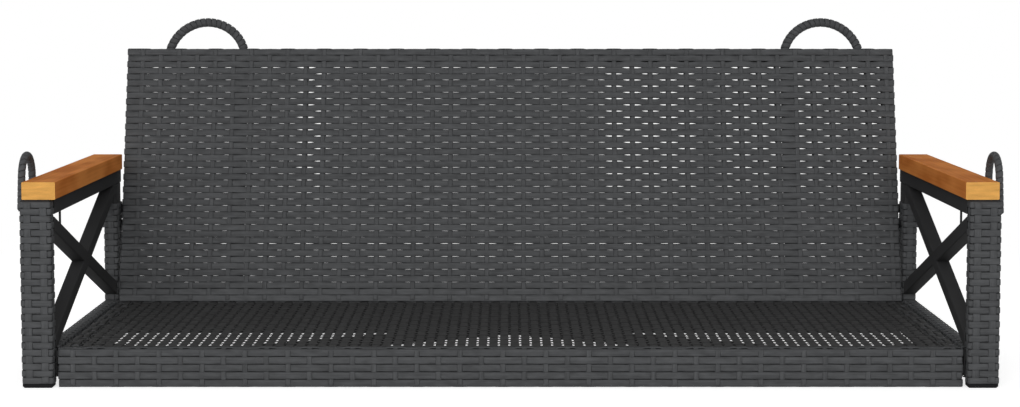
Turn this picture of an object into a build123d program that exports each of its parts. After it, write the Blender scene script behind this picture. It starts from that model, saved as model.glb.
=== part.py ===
from build123d import *
import os
from math import cos, radians, sin, tan

# Porch swing bench: a woven seat and back between two braced side frames, with four fixed loops for ropes.
# X runs along the bench, Y to the rear, Z up. While it is built, Y is 0 at the front of the front posts.

# Driving dimensions, in millimetres and degrees
SEAT_WIDTH = 1398.0  # across the woven seat and the woven back
SEAT_DEPTH = 532.0  # woven seat, front to rear
SEAT_TOP = 60.0  # woven seat top above the floor
SEAT_SETBACK = 6.0  # woven seat front behind the front posts' faces
SEAT_RAIL_HEIGHT = 52.0  # front and rear rails
SEAT_SIDE_HEIGHT = 30.0  # side rails
SEAT_RAIL_DEPTH = 20.0
SEAT_BRACE_WIDTH = 20.0
SEAT_BRACE_HEIGHT = 16.0
DIAGONAL_FROM_SIDE = 228.0  # where a diagonal meets the front rail, from the side rail
CORNER_BRACE_ALONG = 118.0  # corner brace, along the front rail from the side rail
CORNER_BRACE_BACK = 66.0  # corner brace, along the side rail from the front rail
SEAT_SLOTS_ACROSS = 12  # plain openings that stand for the slits of the seat's weave
SEAT_SLOTS_DEEP = 3
SEAT_SLOT_WIDTH = 20.0
SEAT_SLOT_LAND = 20.0  # weave left between two openings, front to rear

BACK_HEIGHT = 457.5  # woven back, along its slope
BACK_TILT = 15.2
BACK_INSET = 30.6  # lower front edge of the back in front of the seat's rear face
BACK_TUBE = 20.0
BACK_SEAT_GAP = 0.3  # under the back's lower rear edge
INNER_STILE_INSET = 65.0  # inner stile inward of the middle of the hanging loop
FITTINGS_SHIFT = 7.0  # the back's inner stiles and loops sit this far right of its middle

SIDE_OVERHANG = 37.0  # rear of the side frames behind the seat's rear face
SIDE_CLEARANCE = 2.5  # between the woven seat or back and the side frames
ARM_BOTTOM = 293.0  # underside of the armrest above the floor
POST_WIDTH = 44.0
POST_DEPTH = 20.0
FRONT_POST_INSET = 4.0  # front post tube outward of the other tubes' inner faces
FRONT_WEAVE_DROP = 3.0  # bare top of the front post under the armrest
REAR_WEAVE_DROP = 34.0  # bare top of the rear post under the arm rail
ARM_RAIL_HEIGHT = 25.0
ARM_RAIL_PROUD = 5.1  # arm rail's outer face outward of the armrest
BOTTOM_RAIL_WIDTH = 20.0
BOTTOM_RAIL_HEIGHT = 44.0
BOTTOM_RAIL_TOP = 62.0  # top of the bottom rail's weave above the floor
BRACE_TUBE = 22.0
LONG_BRACE_DROP = 16.3  # long brace's middle line under the arm rail, at the front post
LONG_BRACE_LIFT = 21.0  # long brace's middle line over the bottom rail, at the rear post
CROSS_BRACE_LIFT = 8.9  # crossing brace's middle line over the bottom rail, at the front post
CROSS_BRACE_DROP = 4.7  # crossing brace's middle line under the arm rail, at the rear post
STAY_THICKNESS = 2.0
STAY_WIDTH = 8.0
STAY_SETBACK = 84.0  # stay behind the front post's weave

ARM_WIDTH = 51.5
ARM_THICKNESS = 27.0
ARM_FRONT_OVERHANG = 4.0
ARM_INSET = 1.1  # armrest's inner edge inward of the woven seat's side
ARM_REAR_SETBACK = 20.0  # rear of the armrest in front of the side frame's rear, clear of the back
ARM_EDGE = 1.5

TUBE_WALL = 1.5
TUBE_CORNER = 2.0
WEAVE = 3.0  # thickness of a woven skin

FRONT_LOOP_ROD = 12.0
FRONT_LOOP_RADIUS = 36.0  # bend of the rod's middle line
FRONT_LOOP_SPLAY = 8.0  # legs from the vertical
FRONT_LOOP_RISE = 41.0  # top of the rod over the armrest
FRONT_LOOP_GAP = 3.0  # foot of the near leg behind the front post's weave
FRONT_LOOP_LEG_END = 3.0  # leg ends above the arm rail's underside
FRONT_LOOP_FLAT = 1.0  # depth ground off the legs where they are welded to the arm rail

BACK_LOOP_ROD = 12.0
BACK_LOOP_WRAP = 1.5
BACK_LOOP_RADIUS = 69.5  # bend of the rod's middle line
BACK_LOOP_FROM_SIDE = 137.0  # middle of a hanging loop from the side of the back, before the shift
BACK_LOOP_LEG = 3.5  # straight end of a leg inside the top rail

FOOT_HEIGHT = 6.0
FOOT_INSET = 1.0
FOOT_CHAMFER = 2.5
PLUG_DEPTH = 18.0  # how far a foot or an end cap reaches into its tube
PLUG_CLEARANCE = 0.2
RAIL_CAP_THICKNESS = 2.5

BOLT = 8.0
BOLT_HOLE_CLEARANCE = 0.5
BOLT_HEAD_FLATS = 13.0
BOLT_HEAD_HEIGHT = 5.3
BOLT_END = 2.5  # bolt end past its nut
NUT_HEIGHT = 6.5
WASHER_DIAMETER = 18.0
WASHER_THICKNESS = 1.6
SPACER_DIAMETER = 16.0
SEAT_BOLT_FRONT = 171.0  # front seat bolt behind the front seat rail
SEAT_BOLT_REAR = 75.0  # rear seat bolt in front of the rear seat rail
BACK_BOLT_SPACING = 28.0
BACK_BOLT_LIFT = 35.0  # middle of the back bolts over the crossing of the back and the rear post

SCREW = 5.0
SCREW_HOLE_CLEARANCE = 0.3
SCREW_HEAD = 9.5
SCREW_HEAD_HEIGHT = 3.0
SCREW_IN_WOOD = 18.0
SCREW_OFFSET = 31.0  # from the arm rail's inner face
SCREW_END = 105.0  # first and last screw from the arm rail's ends
SCREW_COUNT = 3

# Places that follow from the driving dimensions
HALF_WIDTH = SEAT_WIDTH / 2
SEAT_REAR = SEAT_SETBACK + SEAT_DEPTH
SIDE_DEPTH = SEAT_REAR + SIDE_OVERHANG
TUBE_PLANE = HALF_WIDTH + SIDE_CLEARANCE + WEAVE  # inner face of the side frames' tubes
FRONT_POST_X = TUBE_PLANE + FRONT_POST_INSET + POST_WIDTH / 2
FRONT_POST_Y = WEAVE + POST_DEPTH / 2
FRONT_POST_BACK = FRONT_POST_Y + POST_DEPTH / 2
REAR_POST_X = TUBE_PLANE + POST_DEPTH / 2
REAR_POST_Y = SIDE_DEPTH - WEAVE - POST_WIDTH / 2
REAR_POST_FRONT = REAR_POST_Y - POST_WIDTH / 2
ARM_INNER = HALF_WIDTH - ARM_INSET
ARM_REAR = SIDE_DEPTH - ARM_REAR_SETBACK
ARM_RAIL_OUTER = ARM_INNER + ARM_WIDTH + ARM_RAIL_PROUD
ARM_RAIL_WIDTH = ARM_RAIL_OUTER - TUBE_PLANE
ARM_RAIL_X = TUBE_PLANE + ARM_RAIL_WIDTH / 2
ARM_RAIL_Z = ARM_BOTTOM - ARM_RAIL_HEIGHT / 2
ARM_RAIL_BOTTOM = ARM_BOTTOM - ARM_RAIL_HEIGHT
BOTTOM_RAIL_X = TUBE_PLANE + BOTTOM_RAIL_WIDTH / 2
BOTTOM_RAIL_Z = BOTTOM_RAIL_TOP - WEAVE - BOTTOM_RAIL_HEIGHT / 2
BRACE_X = TUBE_PLANE + BRACE_TUBE / 2
LONG_BRACE = (ARM_RAIL_BOTTOM - LONG_BRACE_DROP, BOTTOM_RAIL_TOP + LONG_BRACE_LIFT)  # heights, front and rear
CROSS_BRACE = (BOTTOM_RAIL_TOP + CROSS_BRACE_LIFT, ARM_RAIL_BOTTOM - CROSS_BRACE_DROP)

SEAT_RAIL_Z = SEAT_TOP - WEAVE - SEAT_RAIL_HEIGHT / 2
SEAT_SIDE_Z = SEAT_TOP - WEAVE - SEAT_SIDE_HEIGHT / 2
FRONT_RAIL_Y = SEAT_SETBACK + WEAVE + SEAT_RAIL_DEPTH / 2
REAR_RAIL_Y = SEAT_REAR - WEAVE - SEAT_RAIL_DEPTH / 2
SIDE_RAIL_X = HALF_WIDTH - WEAVE - SEAT_RAIL_DEPTH / 2
SEAT_INNER_X = SIDE_RAIL_X - SEAT_RAIL_DEPTH / 2
SEAT_INNER_FRONT = FRONT_RAIL_Y + SEAT_RAIL_DEPTH / 2
SEAT_INNER_REAR = REAR_RAIL_Y - SEAT_RAIL_DEPTH / 2

BACK_THICKNESS = BACK_TUBE + 2 * WEAVE
BACK_MIDDLE = BACK_THICKNESS / 2
BACK_Y = SEAT_REAR - BACK_INSET
BACK_LIFT = SEAT_TOP + BACK_SEAT_GAP + BACK_THICKNESS * sin(radians(BACK_TILT))
BACK_PLACE = Location((0, BACK_Y, BACK_LIFT), (-BACK_TILT, 0, 0))
BACK_TOP_RAIL = BACK_HEIGHT - WEAVE - BACK_TUBE / 2
BACK_BOTTOM_RAIL = WEAVE + BACK_TUBE / 2
BACK_STILE_X = HALF_WIDTH - WEAVE - BACK_TUBE / 2
BACK_STILE_INNER = BACK_STILE_X - BACK_TUBE / 2
BACK_LOOP_REACH = HALF_WIDTH - BACK_LOOP_FROM_SIDE
INNER_STILE_REACH = BACK_LOOP_REACH - INNER_STILE_INSET

ALONG_X = (1, 0, 0)
ALONG_Y = (0, 1, 0)
BOLT_HOLE = BOLT + 2 * BOLT_HOLE_CLEARANCE


def mirrored(shape):
    """The same shape on the other side of the bench."""
    return mirror(shape, about=Plane.YZ)


def bar(start, end, across, width, depth, corner=0.0):
    """A straight bar between two points. Its width lies along across."""
    path = Vector(*end) - Vector(*start)
    plane = Plane(origin=start, x_dir=across, z_dir=path)
    section = RectangleRounded(width, depth, corner) if corner else Rectangle(width, depth)
    return extrude(plane * section, amount=path.length)


def outline(start, end, across, width, depth):
    """The outside of a tube, filled."""
    return bar(start, end, across, width, depth, TUBE_CORNER)


def tube(start, end, across, width, depth):
    """A rectangular tube, open at both ends."""
    bore = bar(start, end, across, width - 2 * TUBE_WALL, depth - 2 * TUBE_WALL)
    return outline(start, end, across, width, depth) - bore


def plug(start, end, across, width, depth):
    """A block that fits into the end of a tube of that width and depth."""
    fit = 2 * (TUBE_WALL + PLUG_CLEARANCE)
    return bar(start, end, across, width - fit, depth - fit)


def sleeve(start, end, across, width, depth):
    """The outside of a woven skin round a tube, filled."""
    return bar(start, end, across, width + 2 * WEAVE, depth + 2 * WEAVE, TUBE_CORNER + WEAVE)


def box_between(low, high):
    """A block given by its lowest and highest corners."""
    size = Vector(*high) - Vector(*low)
    return Pos(*low) * Box(*size, align=(Align.MIN, Align.MIN, Align.MIN))


def along_x(sketch, start_x, end_x, y, z):
    """A sketch drawn square to X and extruded between two places along it."""
    plane = Plane(origin=(start_x, y, z), x_dir=ALONG_Y, z_dir=ALONG_X)
    return extrude(plane * sketch, amount=end_x - start_x)


def ring_along_x(start_x, end_x, y, z, outer, inner):
    """A washer, spacer or the like along X."""
    return along_x(Circle(outer / 2) - Circle(inner / 2), start_x, end_x, y, z)


def loop_rod(path, diameter):
    """A round rod bent along a path."""
    return sweep(Plane(origin=path @ 0, z_dir=path % 0) * Circle(diameter / 2), path=path)


def seat_cross_ends(y):
    """The two ends of a rail across the seat."""
    reach = HALF_WIDTH - WEAVE
    return (-reach, y, SEAT_RAIL_Z), (reach, y, SEAT_RAIL_Z)


def seat_side_ends(short_by=0.0):
    """The two ends of the right seat rail, each drawn in by short_by."""
    start = (SIDE_RAIL_X, SEAT_INNER_FRONT + short_by, SEAT_SIDE_Z)
    return start, (SIDE_RAIL_X, SEAT_INNER_REAR - short_by, SEAT_SIDE_Z)


def seat_brace(start, end, made):
    """A bar or tube under the seat weave through two points, run on to the rails and trimmed there."""
    z = SEAT_TOP - WEAVE - SEAT_BRACE_HEIGHT / 2
    run = (Vector(*end) - Vector(*start)).normalized() * (SEAT_RAIL_DEPTH + SEAT_BRACE_WIDTH)
    across = (-run.Y, run.X, 0)
    first = (start[0] - run.X, start[1] - run.Y, z)
    last = (end[0] + run.X, end[1] + run.Y, z)
    inside = box_between((-SEAT_INNER_X, SEAT_INNER_FRONT, 0), (SEAT_INNER_X, SEAT_INNER_REAR, SEAT_TOP))
    return made(first, last, across, SEAT_BRACE_WIDTH, SEAT_BRACE_HEIGHT) & inside


def seat_diagonal(made):
    """The diagonal from the front rail on the left to the rear rail on the right."""
    reach = SEAT_INNER_X - DIAGONAL_FROM_SIDE
    return seat_brace((-reach, SEAT_INNER_FRONT), (reach, SEAT_INNER_REAR), made)


def corner_brace(made):
    """The right corner brace, from the front rail to the side rail."""
    start = (SEAT_INNER_X - CORNER_BRACE_ALONG, SEAT_INNER_FRONT)
    return seat_brace(start, (SEAT_INNER_X, SEAT_INNER_FRONT + CORNER_BRACE_BACK), made)


def seat_bolt_places():
    """Where the seat bolts sit on the right side frame, as Y and Z."""
    setbacks = [SEAT_INNER_FRONT + SEAT_BOLT_FRONT, SEAT_INNER_REAR - SEAT_BOLT_REAR]
    return [(y, SEAT_SIDE_Z) for y in setbacks]


def back_bolt_places():
    """Where the back bolts sit on the right side frame, over the crossing of the back and the rear post."""
    tilt = radians(BACK_TILT)
    middle = (REAR_POST_Y - BACK_Y - BACK_MIDDLE * cos(tilt)) / sin(tilt) + BACK_BOLT_LIFT
    heights = [middle - BACK_BOLT_SPACING / 2, middle + BACK_BOLT_SPACING / 2]
    points = [(BACK_PLACE * Pos(0, BACK_MIDDLE, height)).position for height in heights]
    return [(point.Y, point.Z) for point in points]


def bolt_holes(places):
    """What the right side's bolts pass through."""
    return [along_x(Circle(BOLT_HOLE / 2), 0, ARM_RAIL_OUTER, y, z) for y, z in places]


def seat_sheet():
    """The woven sheet between the seat rails' skins, with a plain grid of openings."""
    low = (-SEAT_INNER_X + WEAVE, SEAT_INNER_FRONT + WEAVE, SEAT_TOP - WEAVE)
    high = (SEAT_INNER_X - WEAVE, SEAT_INNER_REAR - WEAVE, SEAT_TOP)
    across, deep = (high[0] - low[0]) / SEAT_SLOTS_ACROSS, (high[1] - low[1]) / SEAT_SLOTS_DEEP
    slot = Box(SEAT_SLOT_WIDTH, deep - SEAT_SLOT_LAND, 4 * WEAVE)
    middle = Pos(0, (low[1] + high[1]) / 2, SEAT_TOP)
    places = GridLocations(across, deep, SEAT_SLOTS_ACROSS, SEAT_SLOTS_DEEP)
    return box_between(low, high) - [middle * place * slot for place in places]


def seat_parts():
    """The seat frame, its braces and its woven skins."""
    front, rear, right = seat_cross_ends(FRONT_RAIL_Y), seat_cross_ends(REAR_RAIL_Y), seat_side_ends()
    rail = (ALONG_Y, SEAT_RAIL_DEPTH, SEAT_RAIL_HEIGHT)
    side_rail = (ALONG_X, SEAT_RAIL_DEPTH, SEAT_SIDE_HEIGHT)
    holes = bolt_holes(seat_bolt_places())
    diagonal, diagonal_room = seat_diagonal(tube), seat_diagonal(outline)
    crossing = mirrored(diagonal) - diagonal_room
    halves = sorted(crossing.solids(), key=lambda half: half.center().Y)
    right_room = [corner_brace(outline), outline(*right, *side_rail)]
    braces_room = [diagonal_room, mirrored(diagonal_room), *right_room, *map(mirrored, right_room)]

    parts = {
        "seat_front_rail": tube(*front, *rail),
        "seat_rear_rail": tube(*rear, *rail),
        "seat_right_rail": tube(*right, *side_rail) - holes,
        "seat_diagonal": diagonal,
        "seat_cross_front": halves[0],
        "seat_cross_rear": halves[-1],
        "seat_right_corner_brace": corner_brace(tube),
    }
    for name, (start, end) in (("front", front), ("rear", rear)):
        skin = sleeve((-HALF_WIDTH, *start[1:]), (HALF_WIDTH, *end[1:]), *rail)
        parts[f"seat_{name}_weave"] = skin - outline(start, end, *rail) - braces_room
    parts["seat_right_weave"] = sleeve(*seat_side_ends(WEAVE), *side_rail) - braces_room - holes
    parts["seat_top_weave"] = seat_sheet()
    for name in ("seat_{}_rail", "seat_{}_corner_brace", "seat_{}_weave"):
        parts[name.format("left")] = mirrored(parts[name.format("right")])
    return parts


def back_loop_path(x):
    """The middle line of a hanging loop on the back, in the back's own frame."""
    foot = BACK_TOP_RAIL - BACK_TUBE / 2 + TUBE_WALL
    bend = foot + BACK_LOOP_LEG
    left, right = x - BACK_LOOP_RADIUS, x + BACK_LOOP_RADIUS
    rise = Line((left, BACK_MIDDLE, foot), (left, BACK_MIDDLE, bend))
    top = (x, BACK_MIDDLE, bend + BACK_LOOP_RADIUS)
    arch = ThreePointArc((left, BACK_MIDDLE, bend), top, (right, BACK_MIDDLE, bend))
    fall = Line((right, BACK_MIDDLE, bend), (right, BACK_MIDDLE, foot))
    return Wire([rise, arch, fall])


def back_stile(x, low, high):
    """An upright tube of the back frame."""
    return tube((x, BACK_MIDDLE, low), (x, BACK_MIDDLE, high), ALONG_X, BACK_TUBE, BACK_TUBE)


def back_rail(height):
    """A tube across the back frame, between its outer stiles."""
    ends = (-BACK_STILE_INNER, BACK_MIDDLE, height), (BACK_STILE_INNER, BACK_MIDDLE, height)
    return tube(*ends, ALONG_Y, BACK_TUBE, BACK_TUBE)


def back_skin():
    """The woven skin all round the back frame, before its holes."""
    ends = (-HALF_WIDTH, BACK_MIDDLE, BACK_HEIGHT / 2), (HALF_WIDTH, BACK_MIDDLE, BACK_HEIGHT / 2)
    low = (-HALF_WIDTH + WEAVE, WEAVE, WEAVE)
    high = (HALF_WIDTH - WEAVE, BACK_THICKNESS - WEAVE, BACK_HEIGHT - WEAVE)
    return bar(*ends, ALONG_Y, BACK_THICKNESS, BACK_HEIGHT, TUBE_CORNER + WEAVE) - box_between(low, high)


def back_parts():
    """The back frame, its woven skin and its hanging loops, placed on the bench."""
    holes = [BACK_PLACE.inverse() * hole for hole in bolt_holes(back_bolt_places())]
    inside_back = box_between((-HALF_WIDTH, 0, 0), (HALF_WIDTH, BACK_THICKNESS, BACK_HEIGHT))
    parts, rods = {}, []
    for name, side in (("left", -1), ("right", 1)):
        path = back_loop_path(FITTINGS_SHIFT + side * BACK_LOOP_REACH)
        rod = loop_rod(path, BACK_LOOP_ROD)
        rods.append(rod)
        parts[f"back_{name}_loop"] = rod
        parts[f"back_{name}_loop_wrap"] = loop_rod(path, BACK_LOOP_ROD + 2 * BACK_LOOP_WRAP) - rod - inside_back
        x = FITTINGS_SHIFT + side * INNER_STILE_REACH
        low, high = BACK_BOTTOM_RAIL + BACK_TUBE / 2, BACK_TOP_RAIL - BACK_TUBE / 2
        parts[f"back_{name}_inner_stile"] = back_stile(x, low, high)
    parts["back_top_rail"] = back_rail(BACK_TOP_RAIL) - rods
    parts["back_bottom_rail"] = back_rail(BACK_BOTTOM_RAIL)
    parts["back_right_stile"] = back_stile(BACK_STILE_X, WEAVE, BACK_HEIGHT - WEAVE) - holes
    parts["back_left_stile"] = mirrored(parts["back_right_stile"])
    parts["back_weave"] = back_skin() - rods - holes - [mirrored(hole) for hole in holes]
    return {name: BACK_PLACE * part for name, part in parts.items()}


def side_brace(heights, made):
    """A brace between heights at the two posts' weaves, run on to the posts and trimmed to the frame."""
    weave_front, weave_rear = FRONT_POST_BACK + WEAVE, REAR_POST_FRONT - WEAVE
    slope = (heights[1] - heights[0]) / (weave_rear - weave_front)
    run_on = BRACE_TUBE + WEAVE
    start = (BRACE_X, weave_front - run_on, heights[0] - slope * run_on)
    end = (BRACE_X, weave_rear + run_on, heights[1] + slope * run_on)
    low = (TUBE_PLANE, FRONT_POST_BACK, BOTTOM_RAIL_TOP)
    high = (TUBE_PLANE + BRACE_TUBE, REAR_POST_FRONT, ARM_RAIL_BOTTOM)
    return made(start, end, ALONG_X, BRACE_TUBE, BRACE_TUBE) & box_between(low, high)


def front_loop_path():
    """The middle line of the right front hanging loop: an arch on two splayed legs."""
    x = ARM_RAIL_OUTER + FRONT_LOOP_ROD / 2 - FRONT_LOOP_FLAT
    splay = radians(FRONT_LOOP_SPLAY)
    crown = ARM_BOTTOM + ARM_THICKNESS + FRONT_LOOP_RISE - FRONT_LOOP_ROD / 2
    reach = FRONT_LOOP_RADIUS * cos(splay)
    shoulder = crown - FRONT_LOOP_RADIUS * (1 - sin(splay))
    leg_end = ARM_RAIL_BOTTOM + FRONT_LOOP_LEG_END
    spread = reach + (shoulder - leg_end) * tan(splay)
    middle = FRONT_POST_BACK + WEAVE + FRONT_LOOP_GAP + FRONT_LOOP_ROD / 2 + spread
    foot_near, foot_far = (x, middle - spread, leg_end), (x, middle + spread, leg_end)
    bend_near, bend_far = (x, middle - reach, shoulder), (x, middle + reach, shoulder)
    arch = ThreePointArc(bend_near, (x, middle, crown), bend_far)
    return Wire([Line(foot_near, bend_near), arch, Line(bend_far, foot_far)])


def arm_screw_rods(size, low, high):
    """Round rods on the right arm screws' middle lines, between two heights."""
    first, last = FRONT_POST_BACK + SCREW_END, SIDE_DEPTH - SCREW_END
    step = (last - first) / (SCREW_COUNT - 1)
    places = [(TUBE_PLANE + SCREW_OFFSET, first + step * i, low) for i in range(SCREW_COUNT)]
    return [extrude(Pos(*place) * Circle(size / 2), amount=high - low) for place in places]


def armrest():
    """The right armrest board, with pilot holes for its screws."""
    x, z = ARM_INNER + ARM_WIDTH / 2, ARM_BOTTOM + ARM_THICKNESS / 2
    board = bar((x, -ARM_FRONT_OVERHANG, z), (x, ARM_REAR, z), ALONG_X, ARM_WIDTH, ARM_THICKNESS, ARM_EDGE)
    return board - arm_screw_rods(SCREW, ARM_BOTTOM, ARM_BOTTOM + SCREW_IN_WOOD)


def upright(x, y, top, width, depth):
    """The ends, the direction across and the size of a post from its foot to top."""
    return (x, y, FOOT_HEIGHT), (x, y, top), ALONG_X, width, depth


def side_parts():
    """The right side frame with its armrest and hanging loop, on the bench."""
    front = upright(FRONT_POST_X, FRONT_POST_Y, ARM_BOTTOM, POST_WIDTH, POST_DEPTH)
    front_skin = upright(FRONT_POST_X, FRONT_POST_Y, ARM_BOTTOM - FRONT_WEAVE_DROP, POST_WIDTH, POST_DEPTH)
    rear = upright(REAR_POST_X, REAR_POST_Y, ARM_RAIL_BOTTOM, POST_DEPTH, POST_WIDTH)
    rear_skin = upright(REAR_POST_X, REAR_POST_Y, ARM_RAIL_BOTTOM - REAR_WEAVE_DROP, POST_DEPTH, POST_WIDTH)
    arm_rail = (ARM_RAIL_X, FRONT_POST_BACK, ARM_RAIL_Z), (ARM_RAIL_X, SIDE_DEPTH, ARM_RAIL_Z)
    arm_rail += (ALONG_X, ARM_RAIL_WIDTH, ARM_RAIL_HEIGHT)
    on_edge = (ALONG_X, BOTTOM_RAIL_WIDTH, BOTTOM_RAIL_HEIGHT)
    bottom = (BOTTOM_RAIL_X, FRONT_POST_BACK, BOTTOM_RAIL_Z), (BOTTOM_RAIL_X, REAR_POST_FRONT, BOTTOM_RAIL_Z)
    bottom_skin = ((BOTTOM_RAIL_X, FRONT_POST_BACK + WEAVE, BOTTOM_RAIL_Z),
                   (BOTTOM_RAIL_X, REAR_POST_FRONT - WEAVE, BOTTOM_RAIL_Z))
    seat_holes, back_holes = bolt_holes(seat_bolt_places()), bolt_holes(back_bolt_places())
    long_room = side_brace(LONG_BRACE, outline)
    crossing = side_brace(CROSS_BRACE, tube) - long_room
    halves = sorted(crossing.solids(), key=lambda half: half.center().Y)
    rail_room, bottom_room = outline(*arm_rail), outline(*bottom, *on_edge)
    frame_room = [rail_room, bottom_room, long_room, side_brace(CROSS_BRACE, outline)]
    screw_holes = arm_screw_rods(SCREW + 2 * SCREW_HOLE_CLEARANCE, ARM_RAIL_BOTTOM, ARM_BOTTOM)
    return {
        "front_post": tube(*front),
        "front_post_weave": sleeve(*front_skin) - outline(*front) - frame_room,
        "rear_post": tube(*rear) - back_holes,
        "rear_post_weave": sleeve(*rear_skin) - outline(*rear) - frame_room - back_holes,
        "arm_rail": tube(*arm_rail) - screw_holes,
        "bottom_rail": tube(*bottom, *on_edge) - seat_holes,
        "bottom_rail_weave": sleeve(*bottom_skin, *on_edge) - bottom_room - seat_holes,
        "long_brace": side_brace(LONG_BRACE, tube),
        "lower_cross_brace": halves[0],
        "upper_cross_brace": halves[-1],
        "armrest": armrest(),
        "front_loop": loop_rod(front_loop_path(), FRONT_LOOP_ROD) - rail_room,
    }


def brace_stay():
    """The right stay: a thin strap between the arm rail and the long brace."""
    y = FRONT_POST_BACK + WEAVE + STAY_SETBACK
    ends = (BRACE_X, y, BOTTOM_RAIL_TOP), (BRACE_X, y, ARM_RAIL_BOTTOM)
    strap = bar(*ends, ALONG_X, STAY_THICKNESS, STAY_WIDTH)
    return (strap - side_brace(LONG_BRACE, outline)).solids().sort_by(Axis.Z)[-1]


def foot(x, y, width, depth):
    """A plastic foot: a chamfered sole with a plug that reaches into the post."""
    proud = 2 * (WEAVE - FOOT_INSET)
    section = RectangleRounded(width + proud, depth + proud, TUBE_CORNER + WEAVE)
    sole = extrude(Pos(x, y, 0) * section, amount=FOOT_HEIGHT)
    sole = chamfer(sole.faces().sort_by(Axis.Z)[0].edges(), FOOT_CHAMFER)
    return sole + plug((x, y, FOOT_HEIGHT), (x, y, FOOT_HEIGHT + PLUG_DEPTH), ALONG_X, width, depth)


def rail_cap():
    """The plug that closes the rear end of the right arm rail."""
    section = (ALONG_X, ARM_RAIL_WIDTH, ARM_RAIL_HEIGHT)
    end = (ARM_RAIL_X, SIDE_DEPTH, ARM_RAIL_Z)
    flange = outline(end, (ARM_RAIL_X, SIDE_DEPTH + RAIL_CAP_THICKNESS, ARM_RAIL_Z), *section)
    return flange + plug((ARM_RAIL_X, SIDE_DEPTH - PLUG_DEPTH, ARM_RAIL_Z), end, *section)


def bolt_set(y, z, inner, outer):
    """One right-hand bolt with its washer, spacer and nut, through what lies between inner and outer."""
    head, nut = outer + WASHER_THICKNESS, inner - NUT_HEIGHT
    hexagon = RegularPolygon(BOLT_HEAD_FLATS / 2, 6, major_radius=False)
    shank = along_x(Circle(BOLT / 2), nut - BOLT_END, head, y, z)
    gap = (HALF_WIDTH, HALF_WIDTH + SIDE_CLEARANCE)
    return {
        "frame_bolts": shank + along_x(hexagon, head, head + BOLT_HEAD_HEIGHT, y, z),
        "bolt_washers": ring_along_x(outer, head, y, z, WASHER_DIAMETER, BOLT_HOLE),
        "side_spacers": ring_along_x(*gap, y, z, SPACER_DIAMETER, BOLT_HOLE),
        "bolt_nuts": along_x(hexagon - Circle(BOLT / 2), nut, inner, y, z),
    }


def both_sides(shapes):
    """A group of separate solids: the given right-hand ones and their mirror images."""
    return Compound([solid for shape in [*shapes, *map(mirrored, shapes)] for solid in shape.solids()])


def shared_parts():
    """Groups of like pieces that both sides have."""
    seat_grip = (SEAT_INNER_X - WEAVE, TUBE_PLANE + BOTTOM_RAIL_WIDTH + WEAVE)
    back_grip = (BACK_STILE_INNER, TUBE_PLANE + POST_DEPTH + WEAVE)
    sets = [bolt_set(*place, *seat_grip) for place in seat_bolt_places()]
    sets += [bolt_set(*place, *back_grip) for place in back_bolt_places()]
    parts = {name: both_sides([bolts[name] for bolts in sets]) for name in sets[0]}
    heads = arm_screw_rods(SCREW_HEAD, ARM_RAIL_BOTTOM - SCREW_HEAD_HEIGHT, ARM_RAIL_BOTTOM)
    shanks = arm_screw_rods(SCREW, ARM_RAIL_BOTTOM, ARM_BOTTOM + SCREW_IN_WOOD)
    parts["arm_screws"] = both_sides([head + shank for head, shank in zip(heads, shanks)])
    parts["brace_stays"] = both_sides([brace_stay()])
    parts["arm_rail_caps"] = both_sides([rail_cap()])
    parts["front_feet"] = both_sides([foot(FRONT_POST_X, FRONT_POST_Y, POST_WIDTH, POST_DEPTH)])
    parts["rear_feet"] = both_sides([foot(REAR_POST_X, REAR_POST_Y, POST_DEPTH, POST_WIDTH)])
    return parts


def porch_swing():
    """Every piece by its node's name, standing on the floor with the origin under the middle of the whole."""
    parts = seat_parts() | back_parts() | shared_parts()
    for name, part in side_parts().items():
        parts[f"right_{name}"] = part
        parts[f"left_{name}"] = mirrored(part)
    bounds = [part.bounding_box() for part in parts.values()]
    front = min(box.min.Y for box in bounds)
    rear = max(box.max.Y for box in bounds)
    return {name: Pos(0, -(front + rear) / 2, 0) * part for name, part in parts.items()}


os.makedirs("parts", exist_ok=True)
for node, shape in porch_swing().items():
    export_step(shape, f"parts/{node}.step")
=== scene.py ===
"""Dresses the porch swing bench: woven strands, oiled wood, coated steel and a plain studio round it."""

import math

import bpy
import numpy as np
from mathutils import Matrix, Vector


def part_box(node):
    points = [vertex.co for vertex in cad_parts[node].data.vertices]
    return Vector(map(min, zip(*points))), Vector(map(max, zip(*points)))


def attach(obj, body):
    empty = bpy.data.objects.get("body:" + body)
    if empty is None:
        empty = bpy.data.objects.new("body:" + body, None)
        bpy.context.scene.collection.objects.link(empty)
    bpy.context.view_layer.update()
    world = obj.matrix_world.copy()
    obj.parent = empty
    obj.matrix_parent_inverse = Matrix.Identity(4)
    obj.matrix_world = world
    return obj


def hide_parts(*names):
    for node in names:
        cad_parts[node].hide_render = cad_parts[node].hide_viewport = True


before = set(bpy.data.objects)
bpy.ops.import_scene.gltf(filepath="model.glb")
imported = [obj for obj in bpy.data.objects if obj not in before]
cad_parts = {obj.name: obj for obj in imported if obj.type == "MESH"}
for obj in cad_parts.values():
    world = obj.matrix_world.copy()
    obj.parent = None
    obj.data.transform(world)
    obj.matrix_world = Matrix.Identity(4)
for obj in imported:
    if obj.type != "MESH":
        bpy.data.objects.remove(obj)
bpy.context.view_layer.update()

bl_info = {
    "name": "Porch Swing Bench",
    "version": (1, 0, 0),
    "blender": (4, 5, 0),
    "location": "3D View > Sidebar > Bench",
    "description": "Weaves, finishes and stages the porch swing bench round its packed frame",
    "category": "Object",
}

BODY = "root"
IMAGE_WIDTH = 1020
SIDES = ("left", "right")
WHITE = (1.0, 1.0, 1.0, 1.0)

X_AXIS = np.array((1.0, 0.0, 0.0))
Y_AXIS = np.array((0.0, 1.0, 0.0))
Z_AXIS = np.array((0.0, 0.0, 1.0))

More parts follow.
